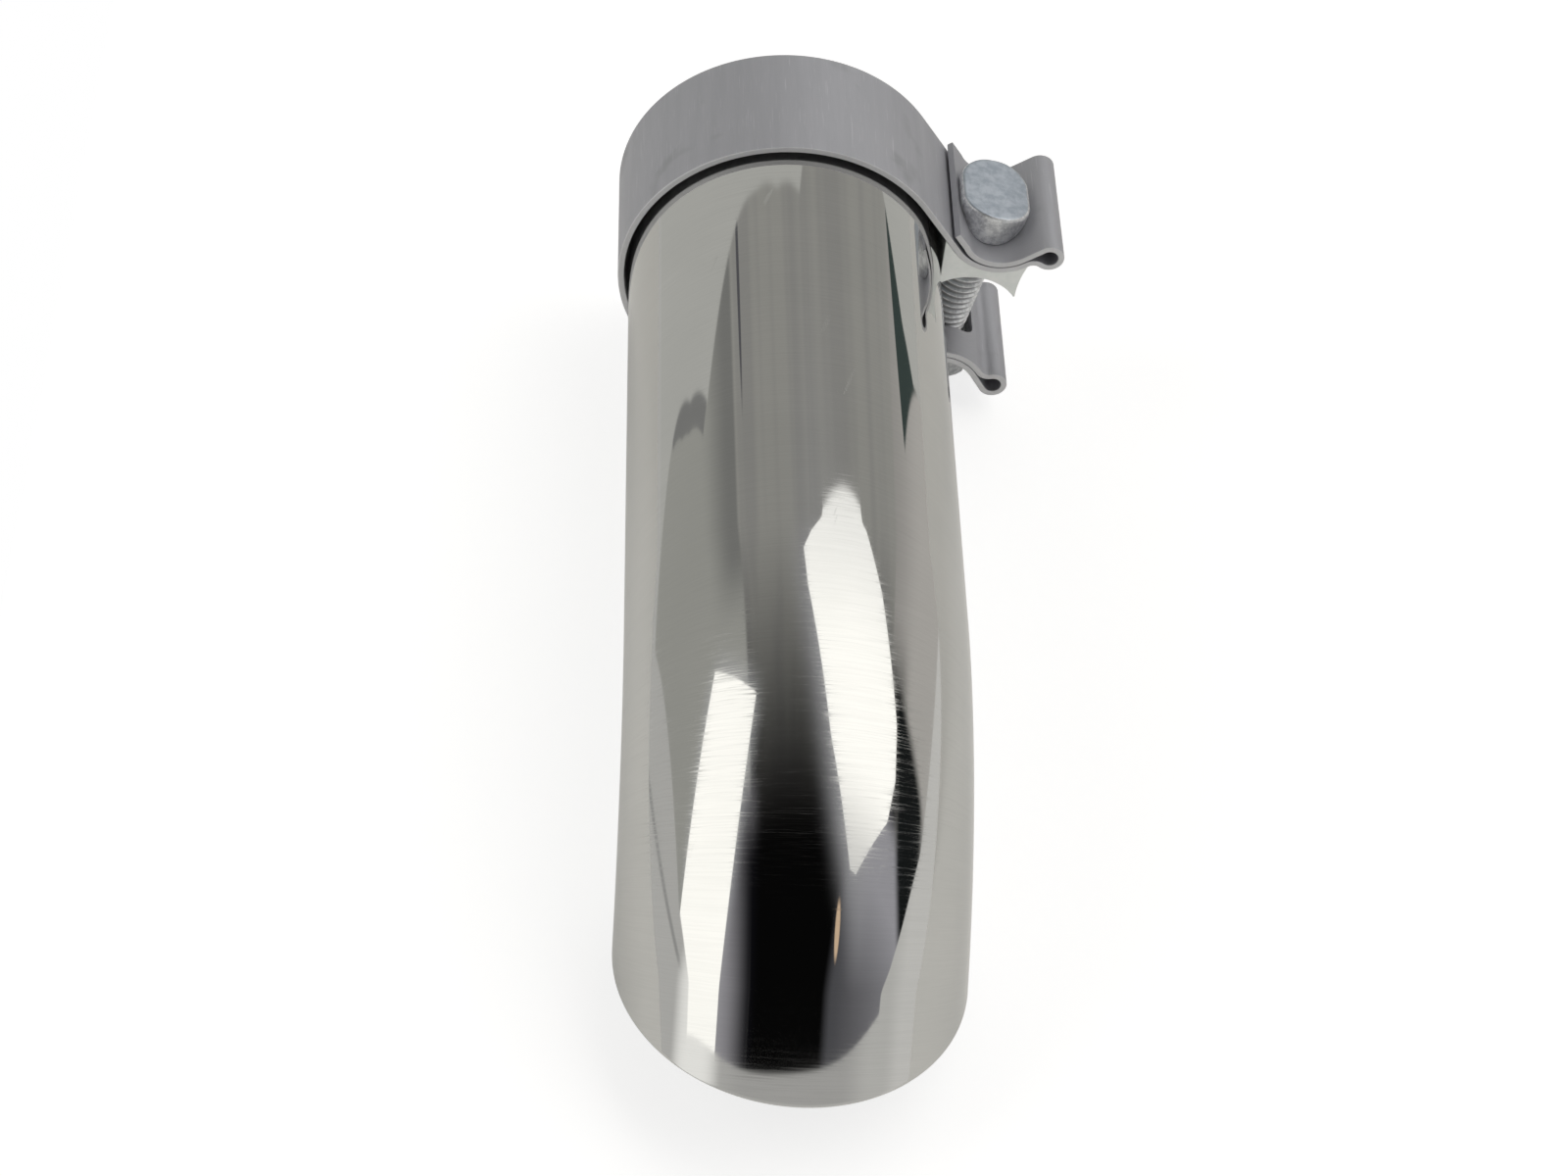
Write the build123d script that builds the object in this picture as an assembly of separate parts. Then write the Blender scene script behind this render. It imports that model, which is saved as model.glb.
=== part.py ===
"""A polished turn-down exhaust tip with a single-bolt flat band clamp on its inlet end.

Millimetres. The origin is the centre of the tube's inlet end. +Y points out of the inlet along
its axis, towards the tailpipe; the tube runs towards -Y and turns down. +Z is up and +X is the
side where the clamp's ears stand out.
"""
from math import acos, atan2, cos, degrees, hypot, radians, sin
import os

from build123d import *

# Tube
tube_diameter = 63.5
tube_wall = 1.5
straight_length = 127.5
bend_radius = 82.5
bend_angle = 44.5
slash_angle = 31.9
slit_count = 4
slit_width = 2.4
slit_length = 24.0

# Clamp band: one folded strap with a ring, two looped ears and two return leaves
band_width = 29.2
band_thickness = 1.3
band_clearance = 0.95
edge_round = 0.22
layer_gap = 0.1
ear_turn = -10.0
bolt_outside_ring = 5.5
ear_standoff = 11.8
trough_radius = 11.0
loop_offset = 11.4
loop_rise = 3.5
loop_radius = 3.05
knee_radius = 1.85
leaf_tail = 3.6
slot_play_out = 2.2
slot_play_across = 2.4
slot_corner = 3.0

# Spacer block between the ears
seat_gap = 0.1
block_waist = 2.4
block_half_width = 8.15
block_inset = 0.5
block_side_dip = 0.5
block_tip = 0.5
block_wing = 3.9
block_round = 0.2

# M10 bolt, saddle washer and nut
bolt_diameter = 10.0
hole_clearance = 0.4
tip_chamfer = 0.8
head_width = 14.6
head_length = 19.0
head_corner = 6.0
head_height = 7.1
head_round = 1.1
washer_height = 4.3
washer_length = 18.0
nut_across_flats = 15.0
nut_height = 7.0
nut_chamfer = 0.7
bolt_end_past_nut = 0.8

# Worked out from the sizes above
tube_radius = tube_diameter / 2
bore_radius = tube_radius - tube_wall
band_inner = tube_radius + band_clearance
half_thickness = band_thickness / 2
bolt_reach = band_inner + band_thickness + bolt_outside_ring
ear_layers = 2 * band_thickness + layer_gap
trough_centre = (bolt_reach, ear_standoff + trough_radius)
leaf_radius = trough_radius - ear_layers
loop_centre = (bolt_reach + loop_offset, ear_standoff + loop_rise + loop_radius)
seat_radius = leaf_radius - seat_gap
seat_depth = ear_standoff + ear_layers + seat_gap
bolt_radius = bolt_diameter / 2
washer_face = seat_depth + washer_height
nut_face = washer_face + nut_height
turn = radians(ear_turn)

# The clamp is drawn in its own plane: x runs out between the ears and y along the bolt to its head
clamp_plane = Plane(origin=(0, 0, 0), x_dir=(cos(turn), 0, sin(turn)), z_dir=(0, -1, 0))
bolt_foot = clamp_plane.from_local_coords(Vector(bolt_reach, 0, band_width / 2))
bolt_plane = Plane(origin=bolt_foot, x_dir=clamp_plane.x_dir, z_dir=clamp_plane.y_dir)


def unit(angle):
    """The direction at an angle in degrees, as x and y."""
    return cos(radians(angle)), sin(radians(angle))


def shifted(point, angle, distance):
    """A point moved by a distance along an angle."""
    x, y = unit(angle)
    return point[0] + distance * x, point[1] + distance * y


def left_normal(first, first_turn, second, second_turn):
    """Angle of the left-hand normal of the straight run from one bend of the strap to the next.

    A bend is a centre and a turn, which is its radius, positive where the strap turns left.
    """
    dx, dy = second[0] - first[0], second[1] - first[1]
    share = (second_turn - first_turn) / hypot(dx, dy)
    return degrees(atan2(dy, dx)) + degrees(acos(share))


def bend_point(centre, turn_radius, normal):
    """Where a bend of the strap has the given left-hand normal."""
    return shifted(centre, normal, -turn_radius)


def meeting_centre(first, first_distance, second, second_distance):
    """The point to the right of the line from first to second, at given distances from both."""
    dx, dy = second[0] - first[0], second[1] - first[1]
    span = hypot(dx, dy)
    along = (first_distance**2 - second_distance**2 + span**2) / (2 * span)
    aside = (first_distance**2 - along**2) ** 0.5
    heading = degrees(atan2(dy, dx))
    return shifted(shifted(first, heading, along), heading - 90, aside)


def heading_between(first, second):
    """The angle of the line from one centre to another."""
    return degrees(atan2(second[1] - first[1], second[0] - first[0]))


def half_strap_bends():
    """Bends of the strap's upper half: centre, turn, and left normal where each starts and ends."""
    ring_turn = -(band_inner + half_thickness)
    trough_turn = trough_radius - half_thickness
    knee_turn = -(knee_radius + half_thickness)
    loop_turn = loop_radius - half_thickness
    leaf_turn = -(leaf_radius + half_thickness)
    knee_centre = meeting_centre(trough_centre, trough_turn - knee_turn,
                                 loop_centre, loop_turn - knee_turn)
    leaving_ring = left_normal((0, 0), ring_turn, trough_centre, trough_turn)
    at_knee = heading_between(trough_centre, knee_centre) + 180
    at_loop = heading_between(knee_centre, loop_centre)
    leaving_loop = left_normal(loop_centre, loop_turn, trough_centre, leaf_turn)
    return [
        ((0, 0), ring_turn, 180, leaving_ring),
        (trough_centre, trough_turn, leaving_ring, at_knee),
        (knee_centre, knee_turn, at_knee, at_loop),
        (loop_centre, loop_turn, at_loop, leaving_loop),
        (trough_centre, leaf_turn, leaving_loop, leaving_ring + 180),
    ]


def offset_bends(bends, offset):
    """Arcs and straight runs of the strap's surface at an offset to the left of its middle."""
    edges = []
    points = []
    for centre, turn_radius, start, end in bends:
        radius = turn_radius - offset
        sweep = (end - start) % 360
        if turn_radius < 0:
            sweep -= 360
        first = bend_point(centre, radius, start)
        middle = bend_point(centre, radius, start + sweep / 2)
        last = bend_point(centre, radius, start + sweep)
        if points and hypot(first[0] - points[-1][0], first[1] - points[-1][1]) > 1e-6:
            edges.append(Line(points[-1], first))
        edges.append(ThreePointArc(first, middle, last))
        points += [first, last]
    tail_end = shifted(points[-1], bends[-1][3] - 90, leaf_tail)
    edges.append(Line(points[-1], tail_end))
    return edges, points[0], tail_end


def strap_half_face():
    """The strap's section from the middle of its ring to the end of one return leaf."""
    bends = half_strap_bends()
    outside, outer_start, outer_end = offset_bends(bends, half_thickness)
    inside, inner_start, inner_end = offset_bends(bends, -half_thickness)
    caps = [Line(outer_start, inner_start), Line(outer_end, inner_end)]
    return make_face(outside + inside + caps)


def extruded(face, start, length):
    """A section of the clamp's plane, pulled along the tube's axis."""
    return extrude(clamp_plane * Pos(0, 0, start) * face, amount=length, dir=clamp_plane.z_dir)


def bolt_slot():
    """The rounded square hole through both ears, on the bolt's axis."""
    section = RectangleRounded(bolt_diameter + slot_play_out, bolt_diameter + slot_play_across,
                               slot_corner)
    depth = 2 * (trough_centre[1] + trough_radius)
    return extrude(bolt_plane * Pos(0, 0, -depth / 2) * section, amount=depth)


def end_edges(solid):
    """Edges that lie in the clamp's two end planes."""
    ends = [0, -band_width]
    picked = []
    for edge in solid.edges():
        box = edge.bounding_box()
        flat = box.max.Y - box.min.Y < 1e-4
        if flat and any(abs(box.min.Y - end) < 1e-3 for end in ends):
            picked.append(edge)
    return picked


def clamp_band():
    """The whole strap with its bolt slots and rounded long edges."""
    half = extruded(strap_half_face(), 0, band_width)
    bolt_side = Plane(origin=(0, 0, 0), z_dir=clamp_plane.y_dir)
    whole = half + mirror(half, about=bolt_side)
    whole = fillet(end_edges(whole), edge_round)
    return whole - bolt_slot()


def ring_section():
    """The tube's section."""
    return Circle(tube_radius) - Circle(bore_radius)


def tip_tube():
    """Straight inlet, one bend downwards, and an outlet cut aslant so that its mouth faces down."""
    inlet = Plane(origin=(0, 0, 0), x_dir=(1, 0, 0), z_dir=(0, -1, 0))
    bend_start = Plane(origin=(0, -straight_length, 0), x_dir=(1, 0, 0), z_dir=(0, -1, 0))
    bend_axis = Axis((0, -straight_length, -bend_radius), (1, 0, 0))
    angle = radians(bend_angle)
    end_point = (0, -straight_length - bend_radius * sin(angle), -bend_radius * (1 - cos(angle)))
    end_way = (0, -cos(angle), -sin(angle))
    bend_end = Plane(origin=end_point, x_dir=(1, 0, 0), z_dir=end_way)
    spare = 2 * tube_diameter
    tube = extrude(inlet * ring_section(), amount=straight_length)
    tube += revolve(bend_start * ring_section(), axis=bend_axis, revolution_arc=bend_angle)
    tube += extrude(bend_end * ring_section(), amount=spare)
    slash_way = bend_angle + slash_angle
    mouth_way = (0, -cos(radians(slash_way)), -sin(radians(slash_way)))
    mouth = Plane(origin=end_point, x_dir=(1, 0, 0), z_dir=mouth_way)
    tube -= extrude(mouth * Rectangle(4 * spare, 4 * spare), amount=2 * spare)
    return tube - slits()


def slits():
    """Narrow slits in the inlet end, under the band, which let it close on the tailpipe."""
    start = Pos(0, -slit_length / 2, tube_radius - tube_wall / 2)
    slit = start * Box(slit_width, slit_length, 3 * tube_wall)
    step = 360 / slit_count
    return [Rot(0, step * (index + 0.5), 0) * slit for index in range(slit_count)]


def spacer_block():
    """The double-hollow block that both ears draw up against."""
    seat = trough_radius + seat_gap
    upper_bottom = ear_standoff - seat_gap
    lower_top = upper_bottom - block_waist
    lower_centre = (bolt_reach, lower_top - seat)
    bends = half_strap_bends()
    leaving_ring = bends[0][3]
    rise = (seat**2 - block_half_width**2) ** 0.5
    run_start = bend_point(trough_centre, seat, leaving_ring)
    wing_top = shifted(run_start, leaving_ring + 90, block_wing)
    bottom = bend_point(trough_centre, seat, 90)
    right_top = (bolt_reach + block_half_width, trough_centre[1] - rise)
    right_tip = (bolt_reach + block_half_width, lower_centre[1] + rise)
    right_in = (right_tip[0] - block_side_dip, (right_top[1] + right_tip[1]) / 2)
    inner = block_half_width - block_tip
    drop = (seat**2 - inner**2) ** 0.5
    right_seat = (bolt_reach + inner, lower_centre[1] + drop)
    left_seat = (bolt_reach - inner, lower_centre[1] + drop)
    left_tip = (bolt_reach - block_half_width, lower_centre[1] + rise)
    outline = [
        Line(wing_top, run_start),
        ThreePointArc(run_start, bottom, right_top),
        ThreePointArc(right_top, right_in, right_tip),
        Line(right_tip, right_seat),
        ThreePointArc(right_seat, (bolt_reach, lower_top), left_seat),
        Line(left_seat, left_tip),
        Line(left_tip, wing_top),
    ]
    block = extruded(make_face(outline), block_inset, band_width - 2 * block_inset)
    block = fillet(block.edges(), block_round)
    hole = bolt_plane * Cylinder(bolt_radius + hole_clearance, 4 * seat)
    return block - hole


def saddle(section, length, height):
    """A half-round seat for an ear's trough, flat on the far side, standing on the bolt's axis."""
    prism = extrude(bolt_plane * Pos(0, 0, seat_depth) * section, amount=height)
    trough_axis = bolt_plane * Pos(0, 0, trough_centre[1]) * Rot(90, 0, 0)
    return prism & (trough_axis * Cylinder(seat_radius, 2 * length))


def clamp_bolt():
    """Bolt with an oval head, flat on top and half-round below."""
    outline = RectangleRounded(head_width, head_length, head_corner)
    head = saddle(outline, head_length, head_height)
    top = bolt_plane.origin + bolt_plane.z_dir * (seat_depth + head_height)
    top_edges = [edge for edge in head.edges()
                 if abs((edge.center() - top).dot(bolt_plane.z_dir)) < 1e-3]
    head = fillet(top_edges, head_round)
    shank_top = seat_depth + head_height / 2
    shank_end = nut_face + bolt_end_past_nut
    shank = Cylinder(bolt_radius, shank_top + shank_end)
    shank = chamfer(shank.edges().group_by(Axis.Z)[0], tip_chamfer)
    middle = (shank_top - shank_end) / 2
    return head + bolt_plane * Pos(0, 0, middle) * shank


def saddle_washer():
    """Half-round washer that seats the nut in the lower ear's trough."""
    outline = Rectangle(2 * seat_radius, washer_length)
    washer = saddle(outline, washer_length, washer_height)
    hole = bolt_plane * Cylinder(bolt_radius + hole_clearance, 4 * trough_centre[1])
    return mirror(washer, about=bolt_plane) - hole


def clamp_nut():
    """Hexagon nut on the end of the bolt."""
    corner_radius = nut_across_flats / 2 / cos(radians(30))
    blank = extrude(RegularPolygon(corner_radius, 6, rotation=30), amount=nut_height)
    crown = Cylinder(corner_radius, nut_height, align=(Align.CENTER, Align.CENTER, Align.MIN))
    crown = chamfer(crown.edges().filter_by(GeomType.CIRCLE), nut_chamfer)
    nut = (blank & crown) - Cylinder(bolt_radius, 4 * nut_height)
    return bolt_plane * Pos(0, 0, -nut_face) * nut


nodes = {
    "tip_tube": tip_tube,
    "clamp_band": clamp_band,
    "spacer_block": spacer_block,
    "clamp_bolt": clamp_bolt,
    "saddle_washer": saddle_washer,
    "clamp_nut": clamp_nut,
}

os.makedirs("parts", exist_ok=True)
for name, make in nodes.items():
    export_step(make(), f"parts/{name}.step")
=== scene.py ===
# %% [markdown]
# # A turn-down exhaust tip with a band clamp
#
# This lesson dresses a small car part: a mirror-polished tube that carries the exhaust gas out and
# down, and the flat band clamp that holds it on the tailpipe. Nearly all of its look is reflection.
# A polished tube has no colour of its own, it shows the room, so the room matters here as much as
# the steel. The solids come first, as a fixed frame, and every piece is made in the same place.

# %% Load the frame
from math import acos, atan2, cos, degrees, hypot, pi, radians, sin

import bmesh
import bpy
import numpy as np
from mathutils import Matrix, Vector


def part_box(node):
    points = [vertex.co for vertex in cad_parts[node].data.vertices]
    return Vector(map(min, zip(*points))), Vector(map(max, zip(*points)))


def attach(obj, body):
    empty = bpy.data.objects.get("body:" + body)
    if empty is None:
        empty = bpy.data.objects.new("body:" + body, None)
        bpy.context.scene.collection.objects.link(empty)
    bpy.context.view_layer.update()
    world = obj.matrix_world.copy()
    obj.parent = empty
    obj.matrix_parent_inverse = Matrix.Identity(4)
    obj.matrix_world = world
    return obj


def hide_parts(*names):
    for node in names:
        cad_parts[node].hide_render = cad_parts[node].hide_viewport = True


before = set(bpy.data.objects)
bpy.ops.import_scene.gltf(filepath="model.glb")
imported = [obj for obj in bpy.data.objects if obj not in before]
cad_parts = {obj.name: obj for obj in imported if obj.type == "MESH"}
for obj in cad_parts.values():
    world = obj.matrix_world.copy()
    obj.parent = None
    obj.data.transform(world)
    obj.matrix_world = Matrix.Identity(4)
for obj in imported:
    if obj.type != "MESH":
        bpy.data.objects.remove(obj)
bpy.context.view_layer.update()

MM = 0.001
print("nodes:", sorted(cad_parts))

# %% [markdown]
# ## The camera
#
# The camera stands in front of the outlet and looks down on the part, a little from the left. Its
# place was found by fitting a pinhole camera to the outlines of the band, the tube and the mouth.

# %% The camera
camera_data = bpy.data.cameras.new("front_camera")
camera_data.sensor_width = 36
camera_data.lens = 77.255
camera = bpy.data.objects.new("front_camera", camera_data)
camera.location = (-0.058647, -0.542109, 0.457656)
camera.rotation_euler = (radians(42.885), radians(-5.890), radians(-1.265))
bpy.context.scene.collection.objects.link(camera)
bpy.context.scene.camera = camera
bpy.context.scene.view_settings.view_transform = "Standard"
print("lens in mm:", camera_data.lens)

# %% [markdown]
# ## The sizes
#
# The looks are built from the same sizes as the solids, in millimetres and degrees, so that a piece
# that replaces a solid lies exactly where the solid is. Only the bolt differs: its head has rounder
# corners here, and its shank has a real thread.

# %% The sizes
tube_radius = 31.75
tube_wall = 1.5
straight_length = 127.5
bend_radius = 82.5
bend_angle = 44.5
slash_angle = 31.9
slit_count = 4
slit_length = 24.0
lip_round = 0.35

band_width = 29.2
band_thickness = 1.3
band_round = 0.22
ear_turn = -10.0
bolt_reach = 39.5
trough_height = 22.8
trough_radius = 11.0
leaf_radius = 8.3
loop_centre = (50.9, 18.35)
loop_radius = 3.05
knee_radius = 1.85
leaf_tail = 3.9
leaf_lift = 0.6
slot_length = 12.2
slot_width = 12.4
slot_corner = 3.0

bolt_radius = 5.0
thread_pitch = 1.5
thread_depth = 0.86
head_width = 14.6
head_length = 19.0
head_corner = 7.0
head_foot = 14.6
head_height = 7.1
seat_radius = 8.2
bolt_end = -26.7
end_radius = 4.1
neck_radius = 4.0
rim_round = 0.8
foot_round = 0.35
crown_flat = 2.6
crown_slope = 0.09
ring_gap = 0.95
ring_middle = tube_radius + ring_gap + band_thickness / 2
print("tube over its bends in mm:", straight_length + bend_radius * radians(bend_angle))

# %% [markdown]
# ## Sums on sockets
#
# Materials and node trees are sums over fields. This small class wraps a socket, so that a sum is
# written as one and adds its own Math nodes. Every other node comes from the one method node().


# %% Sums on sockets
class Wire:
    """An output socket that can take part in sums."""

    def __init__(self, board, node, socket):
        self.board = board
        self.node = node
        self.socket = socket

    def of(self, name):
        """Another output of the same node."""
        return Wire(self.board, self.node, self.node.outputs[name])

    def maths(self, operation, *values):
        return self.board.node("ShaderNodeMath", {"operation": operation}, dict(enumerate(values)))

    def __add__(self, other):
        return self.maths("ADD", self, other)

    def __sub__(self, other):
        return self.maths("SUBTRACT", self, other)

    def __rsub__(self, other):
        return self.maths("SUBTRACT", other, self)

    def __mul__(self, other):
        return self.maths("MULTIPLY", self, other)

    def __truediv__(self, other):
        return self.maths("DIVIDE", self, other)

    def __lt__(self, other):
        return self.maths("LESS_THAN", self, other)

    __radd__ = __add__
    __rmul__ = __mul__

    def least(self, other):
        return self.maths("MINIMUM", self, other)

    def most(self, other):
        return self.maths("MAXIMUM", self, other)

    def function(self, operation):
        return self.maths(operation, self)

    def ramp(self, low, high):
        """A straight climb from 0 at low to 1 at high."""
        return self.board.node("ShaderNodeMapRange", None,
                               {"Value": self, "From Min": low, "From Max": high})

    def between(self, low, high):
        """A soft step from 0 at low to 1 at high."""
        settings = {"interpolation_type": "SMOOTHSTEP"}
        sockets = {"Value": self, "From Min": low, "From Max": high}
        return self.board.node("ShaderNodeMapRange", settings, sockets)


class Board:
    """A node tree with one method that makes any node."""

    def __init__(self, tree):
        self.tree = tree

    def node(self, kind, settings=None, sockets=None, output=0):
        made = self.tree.nodes.new(kind)
        for name, value in (settings or {}).items():
            setattr(made, name, value)
        for name, value in (sockets or {}).items():
            self.plug(made.inputs[name], value)
        return Wire(self, made, made.outputs[output]) if made.outputs else made

    def plug(self, socket, value):
        if isinstance(value, Wire):
            self.tree.links.new(value.socket, socket)
            return
        if socket.type == "RGBA" and len(value) == 3:
            value = (*value, 1.0)
        socket.default_value = value

    def vector(self, x, y, z):
        return self.node("ShaderNodeCombineXYZ", None, {0: x, 1: y, 2: z})

    def parts(self, vector):
        split = self.node("ShaderNodeSeparateXYZ", None, {0: vector})
        return split, split.of("Y"), split.of("Z")

    def mix(self, share, first, second):
        """Two colours mixed by a share."""
        settings = {"data_type": "RGBA"}
        return self.node("ShaderNodeMix", settings, {0: share, 6: first, 7: second}, output=2)

    def noise(self, vector, scale, detail=3.0, roughness=0.5):
        sockets = {"Vector": vector, "Scale": scale, "Detail": detail, "Roughness": roughness}
        return self.node("ShaderNodeTexNoise", None, sockets)


print("socket class ready")

# %% [markdown]
# ## The room that the steel shows
#
# The tube was photographed under two big soft lights in a grey room, on a pale table. A world
# shader is the simplest room: it is a colour for each direction. Directions are laid out flat on a
# sheet, as degrees from straight up, so each soft light is a shape with straight sides there. The
# corners were found from where the polished tube mirrors each edge. The camera itself sees white.


# %% The room
world = bpy.data.worlds.new("studio")
bpy.context.scene.world = world
world.use_nodes = True
world.node_tree.nodes.clear()
room = Board(world.node_tree)
way = room.node("ShaderNodeTexCoord").of("Generated")
way_x, way_y, way_z = room.parts(way)
from_top = way_z.least(0.9999).most(-0.9999).function("ARCCOSINE") * (180 / pi)
flat_length = (way_x * way_x + way_y * way_y).function("SQRT").most(0.0001)
sheet_x = from_top * way_x / flat_length
sheet_y = from_top * way_y / flat_length
spread = room.vector(sheet_x, sheet_y, 0.0)


def panel(corners, softness):
    """1 inside the shape with these corners, listed counter-clockwise, and 0 outside."""
    inside = None
    for (ax, ay), (bx, by) in zip(corners, corners[1:] + corners[:1]):
        length = hypot(bx - ax, by - ay)
        inward = ((ay - by) / length, (bx - ax) / length, 0.0)
        depth = room.node("ShaderNodeVectorMath", {"operation": "DOT_PRODUCT"},
                          {0: spread, 1: inward}, output="Value")
        edge = ax * inward[0] + ay * inward[1]
        step = depth.between(edge - softness, edge + softness)
        inside = step if inside is None else inside * step
    return inside


def spot(x, y, reach_x, reach_y, softness=0.5):
    """1 near a point, 0 beyond an ellipse round it."""
    away_x, away_y = (sheet_x - x) / reach_x, (sheet_y - y) / reach_y
    away = away_x * away_x + away_y * away_y
    return 1.0 - away.between(1 - softness, 1 + softness)


# %% The grey walls
# The far wall is boards that fade to dark towards the front, with one small dark mark.
boards = room.noise(room.vector(sheet_x * 0.10, sheet_y * 0.012, 0.0), 1.0, 2.0)
upper = room.mix(boards.between(0.40, 0.60), (0.35, 0.345, 0.33), (0.40, 0.395, 0.37))
middle = room.mix(sheet_y.between(-25, 57), (0.003, 0.003, 0.003), upper)
middle = room.mix(spot(-30.3, 51.5, 0.7, 2.4), middle, (0.12, 0.12, 0.13))
# A grey wall stands on each side, and a dark shade falls on the lower part of the right one.
left_wall = room.mix(sheet_x.between(-54, -38) * sheet_y.between(22, 42), (0.43, 0.43, 0.40),
                     (0.25, 0.25, 0.24))
right_wall = room.mix(sheet_x.between(50, 66), (0.43, 0.415, 0.395), (0.57, 0.55, 0.52))
shade = sheet_x.between(64, 57) * sheet_y.between(36, 6)
right_wall = room.mix(shade, right_wall, (0.03, 0.03, 0.03))
wall = room.mix(sheet_x.between(-35.6, -33.8), left_wall, middle)
wall = room.mix(sheet_x.between(50.2, 51.6), wall, right_wall)
# Low in front, on each side of the dark middle, lies a dim area.
low_tone = room.mix(sheet_y.ramp(-48, -24), (0.15, 0.148, 0.16), (0.44, 0.435, 0.47))
low_tone = room.mix(sheet_x.between(24, 42), (0.10, 0.10, 0.11), low_tone)
right_low = panel([(16, -70), (60, -70), (90, -20), (78, -10), (44, -8), (29, -21)], 4)
wall = room.mix(right_low, wall, low_tone)
left_tone = room.mix(sheet_x.between(-56, -33), (0.40, 0.39, 0.42), (0.006, 0.006, 0.008))
left_tone = room.mix(sheet_y.between(-26, -8), left_tone, (0.20, 0.195, 0.21))
left_low = panel([(-80, -20), (-60, -70), (-30, -70), (-30, -30), (-29, -12), (-44, -6)], 5)
wall = room.mix(left_low, wall, left_tone)
print("room nodes so far:", len(world.node_tree.nodes))

# %% The soft lights
# The brightest shapes are the two lights. Each has a wide dim border of its own.
left_corners = [(-54, 20), (-85.5, -10), (-98, -26), (-76, -60), (-57, -41), (-30, 7)]
right_corners = [(-0.7, 35.8), (1, 27), (14.5, -3.6), (30.8, -26.5), (35, -26.3), (53.8, -9.6),
                 (57.2, 0), (55.8, 10.6), (43.3, 33.4), (33.9, 45.5), (31, 47.1), (10.5, 44.4),
                 (4, 40.3)]
lit = room.mix(panel(left_corners, 8.0), wall, (0.58, 0.59, 0.61))
halo = [(-5, 38), (-5, 24), (8, -8), (24, -31), (38, -36), (46, -14), (46, 20), (20, 42)]
lit = room.mix(panel(halo, 12.0), lit, (0.44, 0.44, 0.46))
# Right of the right light is a dark gap, and below the light is one small warm spot.
right_dark = panel([(61, -12), (71, -26), (82, -8), (78, 8), (53, 20)], 3.0)
lit = room.mix(right_dark, lit, (0.012, 0.014, 0.014))
lit = room.mix(spot(25, -39, 1.6, 5.5), lit, (0.85, 0.62, 0.42))
lit = room.mix(panel(left_corners, 0.3), lit, (1.60, 1.58, 1.51))
# The right light is brightest in its middle and fades a little towards both ends.
right_glow = room.mix(sheet_y.between(12, 48), (1.64, 1.62, 1.55), (1.36, 1.35, 1.31))
right_glow = room.mix(sheet_y.between(-4, -27), right_glow, (0.98, 0.97, 0.94))
lit = room.mix(panel(right_corners, 0.12), lit, right_glow)
print("corners of the lights:", len(left_corners), len(right_corners))

# %% The pale backdrop round the room
# Its near edge is a curve. The backdrop is darker just past that edge and brightest far right.
along_edge = sheet_x * (sheet_x * (sheet_x * (sheet_x * 1.262e-7 + 1.17e-6) + 0.003574) + 0.00316)
near_edge = sheet_y + 54.22 - along_edge
backdrop = room.mix(sheet_x.between(-60, 60), (0.60, 0.595, 0.575), (0.66, 0.655, 0.63))
under = near_edge.between(-10, 0) * sheet_x.function("ABSOLUTE").between(58, 34)
backdrop = room.mix(under, backdrop, (0.52, 0.515, 0.50))
backdrop = room.mix(sheet_x.between(66, 80), backdrop, (0.78, 0.77, 0.745))
# On the left it has a fold with a crease, and the left light glows on it.
fold = sheet_x + 97 - (sheet_y - 36) * (sheet_y - 36) * 0.0040
backdrop = room.mix(fold.between(0.5, -0.5), backdrop, (0.62, 0.615, 0.595))
crease = fold.function("ABSOLUTE").between(1.1, 0.2) * sheet_y.between(-22, -12)
backdrop = room.mix(crease, backdrop, (0.40, 0.40, 0.39))
backdrop = room.mix(spot(-77, -35, 21, 15, 0.9) * 0.75, backdrop, (1.4, 1.39, 1.35))
# At the back the walls end in a dark wedge, a grey patch and one broad pale sheet.
wedge = [(50.5, 61.8), (54.4, 59.6), (57.5, 58.4), (61, 62.6), (65.7, 67.9), (67, 69.5), (60, 70)]
lit = room.mix(panel(wedge, 0.2), lit, (0.055, 0.075, 0.07))
patch = panel([(-66.3, 66.9), (-61.9, 62.6), (-58.5, 60.0), (-51.4, 55.6), (-49, 55.2),
               (-49.5, 57), (-62, 68.5), (-66.3, 68)], 0.06)
lit = room.mix(patch, lit, (0.26, 0.26, 0.255))
bowl = panel([(-110, 102), (-57.3, 60.1), (-48.5, 55), (-38, 53.5), (-20, 50.9), (-8, 49.75),
              (4.2, 49.5), (58.5, 63.3), (63.3, 65.7), (65.8, 68.1), (74, 77.5), (110, 122),
              (110, 150), (-110, 150)], 0.10)
lit = room.mix(bowl, lit, (0.57, 0.57, 0.54))
# Past the room's near, right and left edges the steel shows the backdrop.
right_edge = 80.0 - sheet_x - (sheet_y - 20) * (sheet_y - 20) * 0.00215
left_edge = panel([(-73.6, 73), (-81.6, 64.4), (-88.7, 54.6), (-91.6, 46), (-93, 36), (-91.4, 18.7),
                   (-85, -5), (-84.4, -24), (-84, -200), (20, -100), (61.2, -38.6), (65.7, -31.9),
                   (71.4, -20.2), (79.7, 1.9), (100, 60), (100, 200)], 0.4)
in_room = near_edge.between(-0.04, 0.04) * right_edge.between(-0.4, 0.4) * left_edge
lit = room.mix(in_room, backdrop, lit)
print("room nodes with the lights:", len(world.node_tree.nodes))

# %% The room reaches everything but the camera
ray = room.node("ShaderNodeLightPath")
seen = room.mix(ray, lit, (1.0, 1.0, 1.0))
sky = room.node("ShaderNodeBackground", None, {"Color": seen, "Strength": 1.0})
room.node("ShaderNodeOutputWorld", None, {"Surface": sky})
print("room nodes:", len(world.node_tree.nodes))

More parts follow.
